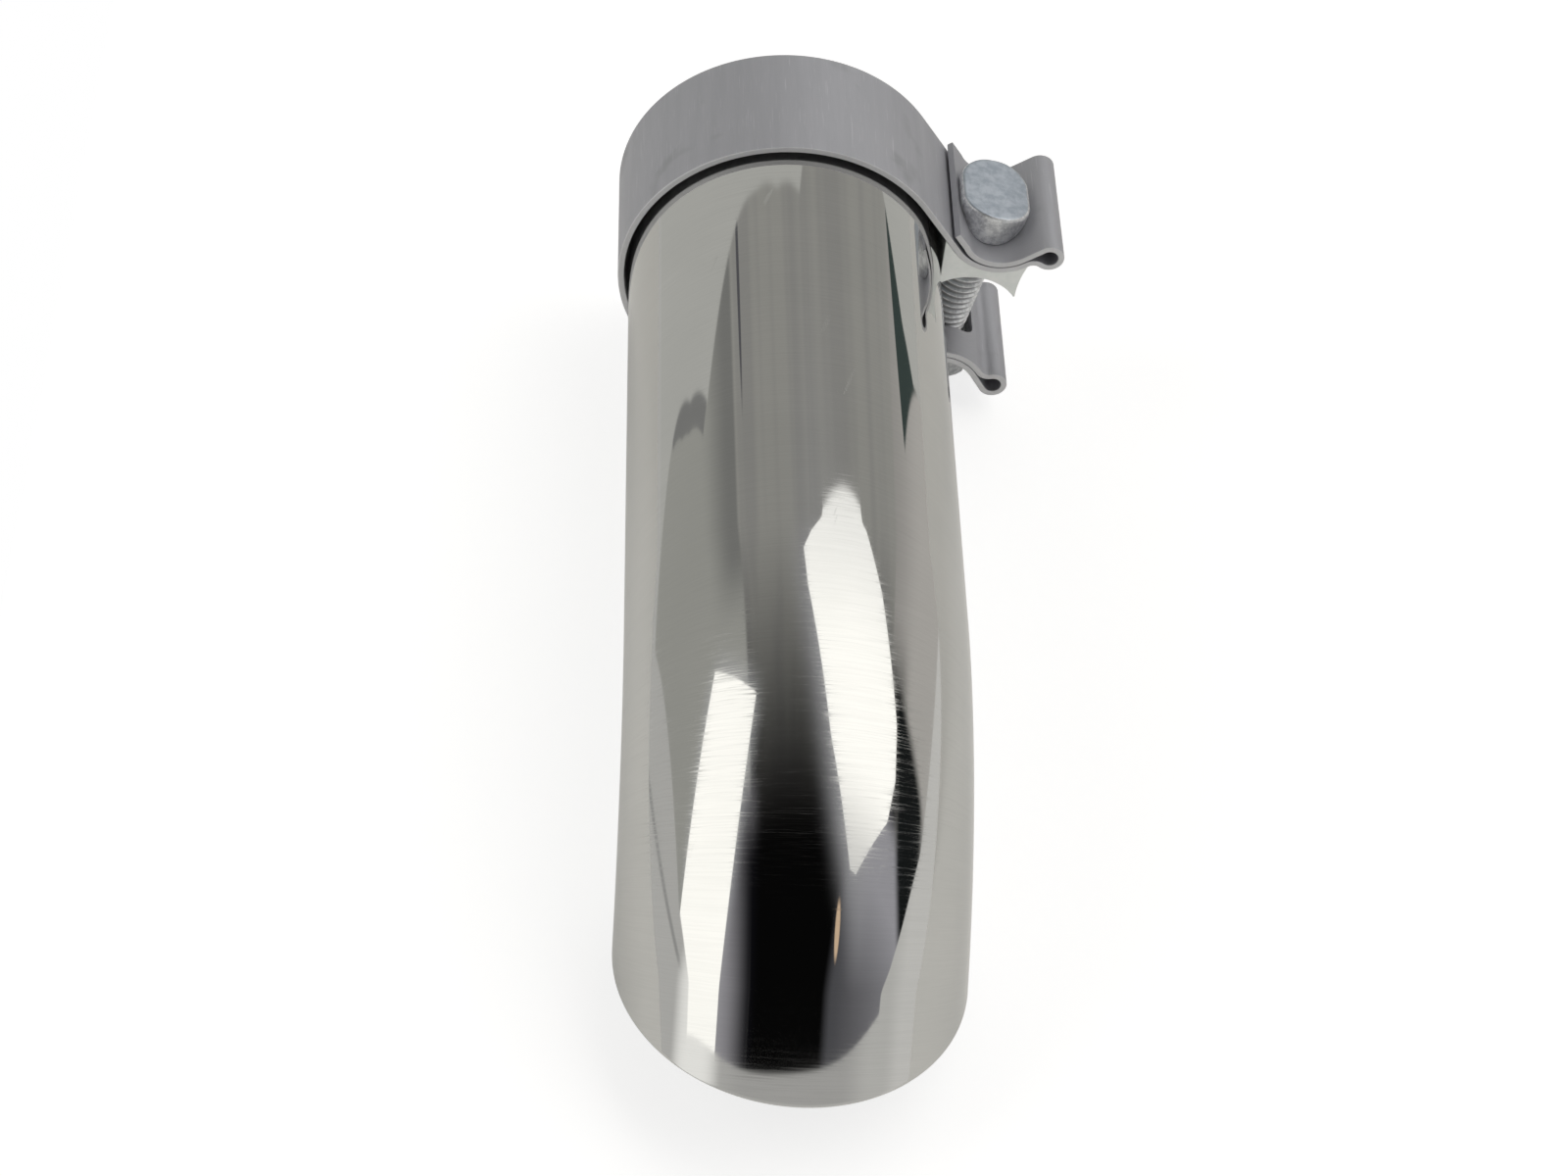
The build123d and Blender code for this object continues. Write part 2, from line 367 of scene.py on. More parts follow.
# %% [markdown]
# ## The table
#
# A pale sheet lies under the part. In the steel it is a lit sheet with a faint painted glow,
# stronger near the front. For the camera it glows as well, so that it reaches white, and it still
# takes the part's shadow. It ends not far left of the tube, because past there the steel shows the
# pale backdrop instead.

# %% The table
# The sheet lies just under the mouth and the band. Its edges are in metres.
floor_level = -34.03 * MM
floor_mesh = bpy.data.meshes.new("table_sheet")
floor_left, floor_right, floor_front, floor_back = -0.15, 2, -2.5, 0.3
floor_corners = [(floor_left, floor_front, floor_level), (floor_right, floor_front, floor_level),
                 (floor_right, floor_back, floor_level), (floor_left, floor_back, floor_level)]
floor_mesh.from_pydata(floor_corners, [], [(0, 1, 2, 3)])
table_sheet = bpy.data.objects.new("table_sheet", floor_mesh)
bpy.context.scene.collection.objects.link(table_sheet)
floor_finish = bpy.data.materials.new("pale_sheet")
floor_finish.use_nodes = True
floor_finish.node_tree.nodes.clear()
sheet = Board(floor_finish.node_tree)
ray = sheet.node("ShaderNodeLightPath")
plain_sheet = sheet.node("ShaderNodeBsdfDiffuse", None, {"Color": (0.90, 0.89, 0.865)})
place_y = sheet.parts(sheet.node("ShaderNodeTexCoord").of("Object"))[1]
# A painted glow that the steel sees on the sheet, stronger towards the front.
painted_glow_tone = sheet.mix(place_y.between(-0.12, 0.04), (0.16, 0.16, 0.157), (0.05, 0.05, 0.049))
faint_glow = sheet.node("ShaderNodeEmission", None, {"Color": painted_glow_tone, "Strength": 1.0})
lit_and_glowing_sheet = sheet.node("ShaderNodeAddShader", None, {0: plain_sheet, 1: faint_glow})
seen_sheet = sheet.node("ShaderNodeBsdfDiffuse", None, {"Color": (0.5, 0.5, 0.5)})
glow = sheet.node("ShaderNodeEmission", None, {"Color": (1.0, 1.0, 1.0), "Strength": 0.74})
white_sheet = sheet.node("ShaderNodeAddShader", None, {0: seen_sheet, 1: glow})
floor_mix = sheet.node("ShaderNodeMixShader", None, {0: ray, 1: lit_and_glowing_sheet, 2: white_sheet})
sheet.node("ShaderNodeOutputMaterial", None, {"Surface": floor_mix})
floor_mesh.materials.append(floor_finish)
print("table at mm:", round(floor_level / MM, 2))

# %% [markdown]
# ## Finishes
#
# Each finish starts from a metal shader. What changes over the surface is its colour, roughness
# and a very fine bump. On the tube, hairlines run round it, the bend is a little duller and shows
# finer lines, and the inner wall keeps a mill finish.


# %% A metal finish to start from
def metal(name):
    """A new material, its board and its shader node, fully metallic."""
    material = bpy.data.materials.new(name)
    material.use_nodes = True
    material.node_tree.nodes.clear()
    board = Board(material.node_tree)
    shader = board.node("ShaderNodeBsdfPrincipled", None, {"Metallic": 1.0})
    board.node("ShaderNodeOutputMaterial", None, {"Surface": shader})
    return material, board, shader.node


def bump(board, height, distance):
    sockets = {"Height": height, "Distance": distance, "Strength": 1.0}
    return board.node("ShaderNodeBump", None, sockets)


print("metal finish helpers ready")

# %% Polished tube steel
polished, board, shader = metal("polished_tube_steel")
unbent = board.node("ShaderNodeAttribute", {"attribute_name": "unbent"}).of("Vector")
along_x, along_y, along_z = board.parts(unbent)
hair = board.noise(board.vector(along_x * 90, along_y * 90, along_z * 5200), 1.0, 2.0)
streak = board.noise(board.vector(along_x * 45, along_y * 45, along_z * 1800), 1.0, 2.0)
sway = board.noise(unbent, 48.0, 1.0)
cloud = board.noise(unbent, 55.0, 3.0)
scratch_vector = board.vector(along_x * 700 + along_z * 240, along_y * 90, along_z * 60)
scratch = board.noise(scratch_vector, 1.0, 1.0).between(0.74, 0.76)
fine = board.noise(board.vector(along_x * 130, along_y * 130, along_z * 9000), 1.0, 1.0)
tone = board.mix(cloud.between(0.35, 0.7), (0.600, 0.600, 0.588), (0.622, 0.620, 0.608))
lines = (hair * 0.7 + streak * 0.3).between(0.36, 0.64)
tone = board.mix(lines * 0.25, tone, (0.530, 0.530, 0.520))
from_axis = (along_x * along_x + along_y * along_y).function("SQRT")
inside = from_axis.between((tube_radius - 0.6) * MM, (tube_radius - 0.9) * MM)
mill_tone = board.mix(cloud.between(0.3, 0.7), (0.40, 0.39, 0.37), (0.50, 0.49, 0.47))
tone = board.mix(inside, tone, mill_tone)
board.plug(shader.inputs["Base Color"], tone)
in_bend = along_z.between(0.110, 0.150) * (1.0 - along_z.between(0.170, 0.188))
dull = hair.between(0.45, 0.75) * (0.15 + 0.85 * in_bend)
rough = 0.008 + 0.02 * streak + 0.10 * dull + 0.06 * scratch
rough = rough + 0.13 * fine.between(0.50, 0.66) * in_bend
board.plug(shader.inputs["Roughness"], rough + inside * (0.26 + 0.16 * streak))
height = (hair * 0.03 + streak * 0.10 + sway * 0.9) * (0.03 + in_bend)
board.plug(shader.inputs["Normal"], bump(board, height, 0.00001))
print("finish:", polished.name)

# %% Satin strap steel
satin, board, shader = metal("satin_strap_steel")
place = board.node("ShaderNodeTexCoord").of("Object")
along = board.node("ShaderNodeAttribute", {"attribute_name": "along"}).of("Fac")
strip_place = board.node("ShaderNodeAttribute", {"attribute_name": "section"}).of("Vector")
across_x, across_y = board.parts(strip_place)[:2]
rolled = board.noise(board.vector(along * 3200, across_y * 90, across_x * 90), 1.0, 3.0)
broad = board.noise(board.vector(along * 420, across_y * 30, across_x * 30), 1.0, 3.0)
grain = board.noise(place, 2600.0, 2.0)
smudge = board.noise(place, 75.0, 3.0).between(0.60, 0.74)
tone = board.mix(broad, (0.48, 0.483, 0.515), (0.56, 0.563, 0.597))
tone = board.mix(rolled.between(0.58, 0.76) * 0.6, tone, (0.72, 0.722, 0.75))
tone = board.mix(smudge * 0.25, tone, (0.24, 0.24, 0.245))
# The strip's long edges are painted brighter: partly the burnished sheared edge, partly a painted
# highlight along each edge.
edge_highlight_start, edge_highlight_end = (band_width / 2 - 0.2) * MM, (band_width / 2 - 0.02) * MM
rim = across_y.function("ABSOLUTE").between(edge_highlight_start, edge_highlight_end)
tone = board.mix(rim * 0.65, tone, (0.90, 0.90, 0.91))
board.plug(shader.inputs["Base Color"], tone)
board.plug(shader.inputs["Roughness"], 0.60 + 0.14 * rolled + 0.06 * grain)
board.plug(shader.inputs["Normal"], bump(board, rolled * 0.5 + grain * 0.5, 0.00001))
print("finish:", satin.name)

# %% Pale zinc of the spacer and washer
zinc, board, shader = metal("pale_zinc")
place = board.node("ShaderNodeTexCoord").of("Object")
grain = board.noise(place, 3000.0, 3.0)
mottle = board.noise(place, 260.0, 4.0, 0.6)
tone = board.mix(mottle.between(0.3, 0.7), (0.86, 0.89, 0.88), (0.94, 0.955, 0.95))
board.plug(shader.inputs["Base Color"], tone)
board.plug(shader.inputs["Roughness"], 0.48 + 0.18 * mottle)
board.plug(shader.inputs["Normal"], bump(board, grain * 0.4 + mottle * 0.6, 0.00004))
print("finish:", zinc.name)

# %% Zinc plating of the bolt and nut
plated, board, shader = metal("zinc_plated_steel")
place = board.node("ShaderNodeTexCoord").of("Object")
upright = board.parts(board.node("ShaderNodeNewGeometry").of("Normal"))[2]
grain = board.noise(place, 2400.0, 3.0)
mottle = board.noise(place, 420.0, 4.0, 0.65)
scuff = board.noise(place, 900.0, 5.0, 0.7)
root = board.node("ShaderNodeAttribute", {"attribute_name": "groove"}).of("Fac")
# Faces that look up take a darker, bluer tone than the sides: painted shade on the tops of the
# bolt's head and the nut.
painted_shade_top_tone = board.mix(mottle.between(0.35, 0.65), (0.36, 0.40, 0.46), (0.50, 0.54, 0.60))
side_tone = board.mix(scuff.between(0.38, 0.62), (0.62, 0.63, 0.65), (0.90, 0.91, 0.92))
tone = board.mix(upright.between(0.75, 0.95), side_tone, painted_shade_top_tone)
# The thread's roots are painted dark: painted shade in the grooves.
tone = board.mix(root.between(0.25, 0.95), tone, (0.34, 0.34, 0.35))
board.plug(shader.inputs["Base Color"], tone)
board.plug(shader.inputs["Roughness"], 0.36 + 0.18 * mottle)
board.plug(shader.inputs["Normal"], bump(board, grain * 0.2 + mottle * 0.5 + scuff * 0.3, 0.000025))
print("finish:", plated.name)

# %% [markdown]
# ## A surface by rule
#
# The tube and the bolt's thread are both a line that is swept round an axis by a rule. The tree
# takes the line's points from the object's own mesh, lays a grid with one row for each point, and
# then moves the grid's points by sums. The seams are merged, so the skin is closed.


# %% A grid that follows an outline
def start_tree(name, numbers):
    """A geometry tree with these named numbers as inputs: its board, its inputs and their ids."""
    tree = bpy.data.node_groups.new(name, "GeometryNodeTree")
    tree.interface.new_socket("Geometry", in_out="INPUT", socket_type="NodeSocketGeometry")
    tree.interface.new_socket("Geometry", in_out="OUTPUT", socket_type="NodeSocketGeometry")
    ids = {}
    for label in numbers:
        item = tree.interface.new_socket(label, in_out="INPUT", socket_type="NodeSocketFloat")
        ids[label] = item.identifier
    board = Board(tree)
    return board, board.node("NodeGroupInput"), ids


def outline_grid(board, given, columns):
    """A grid over the outline's points: its mesh, each point's outline place and share round."""
    size = board.node("GeometryNodeAttributeDomainSize", None, {"Geometry": given})
    wide = columns + 1
    sockets = {"Size X": 1.0, "Size Y": 1.0, "Vertices X": size, "Vertices Y": wide}
    grid = board.node("GeometryNodeMeshGrid", None, sockets)
    index = board.node("GeometryNodeInputIndex")
    row = ((index + 0.5) / wide).function("FLOOR")
    share = (index - row * wide) / columns
    place = board.node("GeometryNodeInputPosition")
    picked = board.node("GeometryNodeSampleIndex", {"data_type": "FLOAT_VECTOR", "clamp": True},
                        {"Geometry": given, "Value": place, "Index": row})
    return grid, picked, share


def end_tree(board, geometry, finish):
    """Merge the seams, make it real, give it its material and hand it out."""
    merged = board.node("GeometryNodeMergeByDistance", None,
                        {"Geometry": geometry, "Distance": 0.000002})
    smooth = board.node("GeometryNodeSetShadeSmooth", None, {"Geometry": merged})
    real = board.node("GeometryNodeRealizeInstances", None, {"Geometry": smooth})
    dressed = board.node("GeometryNodeSetMaterial", None, {"Geometry": real, "Material": finish})
    board.node("NodeGroupOutput", None, {"Geometry": dressed})


def line_object(name, points):
    """An object whose mesh is a run of points joined by edges."""
    mesh = bpy.data.meshes.new(name)
    mesh.from_pydata([tuple(point) for point in points],
                     [(i, i + 1) for i in range(len(points) - 1)], [])
    made = bpy.data.objects.new(name, mesh)
    bpy.context.scene.collection.objects.link(made)
    return made


def grown(name, points, board, ids, values):
    """Run a tree over a line of points and return the result as a plain mesh."""
    carrier = line_object(name + "_line", points)
    modifier = carrier.modifiers.new("rule", "NODES")
    modifier.node_group = board.tree
    for label, value in values.items():
        modifier[ids[label]] = float(value)
    return plain_mesh(name, carrier)


def plain_mesh(name, carrier):
    """The evaluated mesh of an object, and the object itself removed."""
    bpy.context.view_layer.update()
    graph = bpy.context.evaluated_depsgraph_get()
    mesh = bpy.data.meshes.new_from_object(carrier.evaluated_get(graph),
                                           preserve_all_data_layers=True, depsgraph=graph)
    mesh.name = name
    bpy.data.objects.remove(carrier)
    return mesh


def piece(name, mesh, node, finish):
    """Put a mesh in the scene in place of a solid, with one finish on all its faces."""
    mesh.materials.clear()
    mesh.materials.append(finish)
    mesh.polygons.foreach_set("material_index", [0] * len(mesh.polygons))
    made = bpy.data.objects.new(name, mesh)
    bpy.context.scene.collection.objects.link(made)
    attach(made, "root")
    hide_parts(node)
    low, high = (np.array(corner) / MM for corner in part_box(node))
    places = np.empty(len(mesh.vertices) * 3, np.float32)
    mesh.vertices.foreach_get("co", places)
    places = places.reshape(-1, 3) / MM
    apart = np.abs(np.concatenate([places.min(0) - low, places.max(0) - high])).max()
    print(name, "faces:", len(mesh.polygons), "off its solid's box in mm:", round(float(apart), 2))
    return made


print("tree helpers ready")

# %% [markdown]
# ## The tube
#
# The real tip is one piece of tube, bent on a former, cut aslant and polished. Its outline here is
# the cut wall: along the outside, over the mouth's lip, back along the inside and over the inlet's
# lip. Each outline point holds how far along the tube it is, how deep in the wall, and how far back
# from the end. The rule bends it and stops every line exactly in the plane of the mouth.


# %% The tube's wall as an outline
def wall_outline(steps=4):
    """Points of share along, depth in the wall and distance back from the end."""
    slit_share = slit_length / straight_length / 2
    slit_rows, straight_rows, bend_rows = 21, 45, 111
    shares = np.concatenate([np.linspace(0, slit_share, slit_rows),
                             np.linspace(slit_share, 0.5, straight_rows)[1:],
                             np.linspace(0.5, 1, bend_rows)[1:]])
    turns = [radians(90 * i / steps) for i in range(steps + 1)]
    round_in = [lip_round * (1 - cos(t)) for t in turns]
    round_back = [lip_round * (1 - sin(t)) for t in turns]
    points = [(0.0, depth, -back) for depth, back in zip(round_in[::-1], round_back[::-1])]
    points += [(share, 0.0, 0.0) for share in shares[1:-1]]
    points += [(1.0, depth, back) for depth, back in zip(round_in, round_back)]
    points += [(1.0, tube_wall - depth, back)
               for depth, back in zip(round_in[::-1], round_back[::-1])]
    points += [(share, tube_wall, 0.0) for share in shares[2:-1:2][::-1]]
    points += [(0.0, tube_wall - depth, -back) for depth, back in zip(round_in, round_back)]
    points.append(points[0])
    return [(share, depth * MM, back * MM) for share, depth, back in points]


tube_line = wall_outline()
print("outline points:", len(tube_line))

# %% The tube's rule
tube_numbers = {
    "Radius": tube_radius * MM, "Straight": straight_length * MM, "Bend radius": bend_radius * MM,
    "Bend angle": radians(bend_angle), "Slash angle": radians(slash_angle), "Columns": 336,
    "Slits": slit_count, "Slit columns": 4, "Slit length": slit_length * MM,
}
board, given, ids = start_tree("bent_tube", tube_numbers)
radius, straight = given.of("Radius"), given.of("Straight")
bend, whole_turn = given.of("Bend radius"), given.of("Bend angle")
slash, columns = given.of("Slash angle"), given.of("Columns")
grid, picked, share = outline_grid(board, given, columns)
share_along, depth, back = board.parts(picked)
angle = share * (2 * pi)
reach = radius - depth
up = reach * angle.function("COSINE")
side = reach * angle.function("SINE")
slope = bend * slash.function("SINE") / (bend + up.least(0.0))
turn_at_mouth = whole_turn + slash - slope.function("ARCSINE")
tail_at_mouth = up.most(0.0) * slash.function("TANGENT")
past_straight = bend * turn_at_mouth + tail_at_mouth
half = share_along.least(0.5) * 2
rest = (share_along - 0.5).most(0.0) * 2
run = straight * half + past_straight * rest - back
turned = ((run - straight) / bend).most(0.0).least(whole_turn)
tail = (run - straight - bend * whole_turn).most(0.0)
sine, cosine = turned.function("SINE"), turned.function("COSINE")
place_y = 0.0 - run.least(straight) - bend * sine - tail * cosine - up * sine
place_z = 0.0 - bend * (1.0 - cosine) - tail * sine + up * cosine
shaped = board.node("GeometryNodeSetPosition", None,
                    {"Geometry": grid, "Position": board.vector(side, place_y, place_z)})
marked = board.node("GeometryNodeStoreNamedAttribute",
                    {"data_type": "FLOAT_VECTOR", "domain": "POINT"},
                    {"Geometry": shaped, "Name": "unbent", "Value": board.vector(side, up, run)})
slit_share = share * given.of("Slits") - 0.5
from_slit = (slit_share - slit_share.function("ROUND")).function("ABSOLUTE")
half_slit = given.of("Slit columns") / columns * given.of("Slits") / 2
of_point = {"domain": "POINT", "data_type": "FLOAT"}
from_slit = board.node("GeometryNodeFieldOnDomain", of_point, {0: from_slit})
run_there = board.node("GeometryNodeFieldOnDomain", of_point, {0: run})
in_slit = (from_slit < half_slit) * (run_there < given.of("Slit length"))
opened = board.node("GeometryNodeDeleteGeometry", {"domain": "FACE"},
                    {"Geometry": marked, "Selection": in_slit})
end_tree(board, opened, polished)
tube_mesh = grown("tip_tube_skin", tube_line, board, ids, tube_numbers)
print("tube faces:", len(tube_mesh.polygons))


# %% Close the slits' cut walls and turn the faces outwards
def close_slits(mesh):
    """Give each slit its two cut walls and its end wall."""
    work = bmesh.new()
    work.from_mesh(mesh)
    columns = tube_numbers["Columns"]
    half_slit = tube_numbers["Slit columns"] // 2
    walls = {}
    for vert in {vert for edge in work.edges if len(edge.link_faces) == 1 for vert in edge.verts}:
        column = round(atan2(vert.co.x, vert.co.z) / (2 * pi) * columns) % columns
        outside = hypot(vert.co.x, vert.co.z) > (tube_radius - tube_wall / 2) * MM
        walls.setdefault((column, outside), []).append(vert)
    for verts in walls.values():
        verts.sort(key=lambda vert: vert.co.y)
    for column in sorted({column for column, outside in walls}):
        if len(walls[column, True]) > 1:
            work.faces.new(walls[column, True] + walls[column, False][::-1])
        both_sides = [walls.get((column + step, True), []) for step in (-half_slit, half_slit)]
        if min(len(side) for side in both_sides) > 1:
            ends = range(column - half_slit, column + half_slit + 1)
            work.faces.new([walls[end, True][0] for end in ends]
                           + [walls[end, False][0] for end in ends[::-1]])
    bmesh.ops.recalc_face_normals(work, faces=work.faces)
    print("open edges left:", sum(len(edge.link_faces) == 1 for edge in work.edges))
    work.to_mesh(mesh)
    work.free()


close_slits(tube_mesh)
tube_mesh.set_sharp_from_angle(angle=radians(50))
tip_tube_skin = piece("tip_tube_skin", tube_mesh, "tip_tube", polished)

# %% [markdown]
# ## The clamp's strap
#
# The strap is one steel strip. It runs round the tube, dips into a trough at each ear, folds back
# in a loop and ends in a return leaf that lies on the first layer. Its middle line is a chain of
# bends with straight runs between them, so it is worked out once for the upper half and mirrored.


# %% The strap's middle line
def unit(angle):
    """The direction at an angle in degrees."""
    return np.array([cos(radians(angle)), sin(radians(angle))])


def heading(first, second):
    """The angle of the line from one point to another, in degrees."""
    return degrees(atan2(second[1] - first[1], second[0] - first[0]))


def run_normal(first, first_turn, second, second_turn):
    """Angle of the left-hand normal of the straight run from one bend to the next."""
    share = (second_turn - first_turn) / np.linalg.norm(second - first)
    return heading(first, second) + degrees(acos(share))


def meeting(first, first_distance, second, second_distance):
    """The point right of the line between two centres, at given distances from both."""
    span = np.linalg.norm(second - first)
    along = (first_distance**2 - second_distance**2 + span**2) / (2 * span)
    aside = (first_distance**2 - along**2) ** 0.5
    way = heading(first, second)
    return first + along * unit(way) + aside * unit(way - 90)


def half_strap_line():
    """Points of the middle line from the ring's far side to the end of the upper return leaf."""
    half = band_thickness / 2
    ring, trough = np.zeros(2), np.array([bolt_reach, trough_height])
    loop = np.array(loop_centre)
    # A turn is negative where the strap bends the other way.
    turns = {"ring": -ring_middle, "trough": trough_radius - half, "knee": -(knee_radius + half),
             "loop": loop_radius - half, "leaf": -(leaf_radius + half)}
    knee = meeting(trough, turns["trough"] - turns["knee"], loop, turns["loop"] - turns["knee"])
    leaving_ring = run_normal(ring, turns["ring"], trough, turns["trough"])
    at_knee = heading(trough, knee) + 180
    at_loop = heading(knee, loop)
    leaving_loop = run_normal(loop, turns["loop"], trough, turns["leaf"])
    bends = [(ring, turns["ring"], 180, leaving_ring, 1.5),
             (trough, turns["trough"], leaving_ring, at_knee, 4),
             (knee, turns["knee"], at_knee, at_loop, 8),
             (loop, turns["loop"], at_loop, leaving_loop, 7),
             (trough, turns["leaf"], leaving_loop, leaving_ring + 180, 4)]
    points = []
    for centre, turn, start, end, step in bends:
        sweep = (end - start) % 360 - (360 if turn < 0 else 0)
        count = max(2, round(abs(sweep) / step))
        for i in range(count + 1):
            lift = leaf_lift * (i / count) ** 4 if turn == turns["leaf"] else 0.0
            point = centre - (turn + lift) * unit(start + sweep * i / count)
            if not points or np.linalg.norm(point - points[-1]) > 0.01:
                points.append(point)
    points.append(points[-1] + leaf_tail * unit(leaving_ring + 90))
    return np.array(points)


upper_line = half_strap_line()
lower_line = upper_line[:0:-1] * (1, -1)
strap_line = [(x * MM, y * MM, 0.0) for x, y in np.concatenate([lower_line, upper_line])]
print("strap points:", len(strap_line))

# %% The strap's rule
strap_numbers = {"Width": band_width * MM, "Thickness": band_thickness * MM,
                 "Edge round": band_round * MM}
board, given, ids = start_tree("folded_strap", strap_numbers)
path = board.node("GeometryNodeMeshToCurve", None, {"Mesh": given})
length = board.node("GeometryNodeSplineParameter").of("Length")
path = board.node("GeometryNodeStoreNamedAttribute", {"data_type": "FLOAT", "domain": "POINT"},
                  {"Geometry": path, "Name": "along", "Value": length})
section = board.node("GeometryNodeCurvePrimitiveQuadrilateral", None,
                     {"Width": given.of("Thickness"), "Height": given.of("Width")})
section = board.node("GeometryNodeFilletCurve", {"mode": "POLY"},
                     {"Curve": section, "Count": 4, "Radius": given.of("Edge round")})
place = board.node("GeometryNodeInputPosition")
section = board.node("GeometryNodeStoreNamedAttribute",
                     {"data_type": "FLOAT_VECTOR", "domain": "POINT"},
                     {"Geometry": section, "Name": "section", "Value": place})
swept = board.node("GeometryNodeCurveToMesh", None,
                   {"Curve": path, "Profile Curve": section, "Fill Caps": True})
end_tree(board, swept, satin)
strap_mesh = grown("clamp_band_strip", strap_line, board, ids, strap_numbers)
print("strap faces:", len(strap_mesh.polygons))


# %% [markdown]
# ## Cutting, softening edges and weighing normals
#
# The bolt passes through a rounded slot in both ears. One prism cuts them all. Weighted normals
# keep wide flat faces flat in the light, next to their narrow rounded edges.


# %% Shared finishing of a mesh
def rounded_outline(width, length, corner, steps):
    """Points round a rectangle with round corners."""
    points = []
    for quarter in range(4):
        sign_x, sign_y = ((1, 1), (-1, 1), (-1, -1), (1, -1))[quarter]
        centre = np.array([sign_x * (width / 2 - corner), sign_y * (length / 2 - corner)])
        for i in range(steps + 1):
            points.append(centre + corner * unit(90 * (quarter + i / steps)))
    return points


def prism(outline, low, high):
    """A closed prism over an outline in x and z, from low to high along y, in millimetres."""
    count = len(outline)
    corners = [(x * MM, y * MM, z * MM) for y in (low, high) for x, z in outline]
    sides = [(i, (i + 1) % count, count + (i + 1) % count, count + i) for i in range(count)]
    mesh = bpy.data.meshes.new("cutter")
    ends = [tuple(range(count))[::-1], tuple(range(count, 2 * count))]
    mesh.from_pydata(corners, [], [*sides, *ends])
    turn_outwards(mesh)
    return mesh


def turn_outwards(mesh):
    work = bmesh.new()
    work.from_mesh(mesh)
    bmesh.ops.recalc_face_normals(work, faces=work.faces)
    work.to_mesh(mesh)
    work.free()


def finished(name, mesh, sharp, cutter=None, bevel=0.0):
    """Cut, bevel and weigh a mesh through modifiers, and return the plain result."""
    carrier = bpy.data.objects.new(name + "_work", mesh)
    bpy.context.scene.collection.objects.link(carrier)
    tool = None
    if cutter is not None:
        tool = bpy.data.objects.new(name + "_cutter", cutter)
        bpy.context.scene.collection.objects.link(tool)
        cut = carrier.modifiers.new("cut", "BOOLEAN")
        cut.operation = "DIFFERENCE"
        cut.solver = "EXACT"
        cut.object = tool
    if bevel:
        soften = carrier.modifiers.new("soften", "BEVEL")
        soften.width = bevel * MM
        soften.segments = 3
        soften.limit_method = "ANGLE"
        soften.angle_limit = radians(35)
    result = plain_mesh(name, carrier)
    if tool:
        bpy.data.objects.remove(tool)
    result.shade_smooth()
    result.set_sharp_from_angle(angle=radians(sharp))
    carrier = bpy.data.objects.new(name + "_work", result)
    bpy.context.scene.collection.objects.link(carrier)
    weigh = carrier.modifiers.new("weigh", "WEIGHTED_NORMAL")
    weigh.keep_sharp = True
    return plain_mesh(name, carrier)


def placing(x_way, y_way, z_way, origin):
    """The matrix that puts a mesh's own axes along three directions, from an origin."""
    return Matrix([*zip(x_way, y_way, z_way, origin), (0, 0, 0, 1)])


tilt = radians(ear_turn)
clamp_x = Vector((cos(tilt), 0, sin(tilt)))
clamp_y = Vector((-sin(tilt), 0, cos(tilt)))
band_middle = Vector((0, -band_width / 2 * MM, 0))
strap_place = placing(clamp_x, clamp_y, (0, -1, 0), band_middle)
slot_corners = rounded_outline(slot_length, slot_width, slot_corner, 6)
cutter_reach = 45
slot = prism([(bolt_reach + x, z) for x, z in slot_corners], -cutter_reach, cutter_reach)
strap_mesh = finished("clamp_band_strip", strap_mesh, 40, cutter=slot)
strap_mesh.transform(strap_place)
clamp_band_strip = piece("clamp_band_strip", strap_mesh, "clamp_band", satin)

# %% [markdown]
# ## The bolt
#
# The thread is rolled: a groove that climbs one pitch in each turn. Rows of the grid climb with it,
# so that a crest is one clean line. Both ends stop in a plane or in the head's underside. The head
# is a stack of rings: the half-round underside, the straight wall, the rounded rim and the top.

# %% The thread's rule
groove = [(0.0, 0.0), (0.06, 0.03), (0.12, 0.14), (0.30, 0.80), (0.38, 0.96), (0.5, 1.0),
          (0.62, 0.96), (0.70, 0.80), (0.88, 0.14), (0.94, 0.03)]
# Enough turns for the rows to pass both ends, where the rule cuts them off.
turn_count = int((head_foot + 3 - bolt_end) / thread_pitch) + 2
thread_line = []
for turn in range(turn_count):
    for rise, drop in groove:
        height = bolt_end + (turn - 1 + rise) * thread_pitch
        thread_line.append((height * MM, drop, 0.0))
bolt_columns = 96
thread_numbers = {
    "Radius": bolt_radius * MM, "Pitch": thread_pitch * MM, "Depth": thread_depth * MM,
    "Columns": bolt_columns, "End": bolt_end * MM, "End radius": end_radius * MM,
    "Seat centre": trough_height * MM, "Seat radius": seat_radius * MM,
    "Neck radius": neck_radius * MM,
}
board, given, ids = start_tree("rolled_thread", thread_numbers)
grid, picked, share = outline_grid(board, given, given.of("Columns"))
row_height, drop = board.parts(picked)[:2]
angle = share * (2 * pi)
cosine, sine = angle.function("COSINE"), angle.function("SINE")
neck = given.of("Neck radius")
seat = given.of("Seat radius")
foot = given.of("Seat centre") - (seat * seat - neck * cosine * neck * cosine).function("SQRT")
height = (row_height + given.of("Pitch") * share).most(given.of("End")).least(foot)
reach = given.of("Radius") - given.of("Depth") * drop
reach = reach.least(given.of("End radius") + height - given.of("End"))
reach = reach.least(neck + (foot - height) * 2)
thread_place = board.vector(reach * cosine, reach * sine, height)
shaped = board.node("GeometryNodeSetPosition", None,
                    {"Geometry": grid, "Position": thread_place})
# The depth in the groove is kept here, and the finish uses it to paint the roots dark as painted
# shade.
shaped = board.node("GeometryNodeStoreNamedAttribute", {"data_type": "FLOAT", "domain": "POINT"},
                    {"Geometry": shaped, "Name": "groove", "Value": drop})
end_tree(board, shaped, plated)
shank_mesh = grown("clamp_bolt_shank", thread_line, board, ids, thread_numbers)
print("shank faces:", len(shank_mesh.polygons))


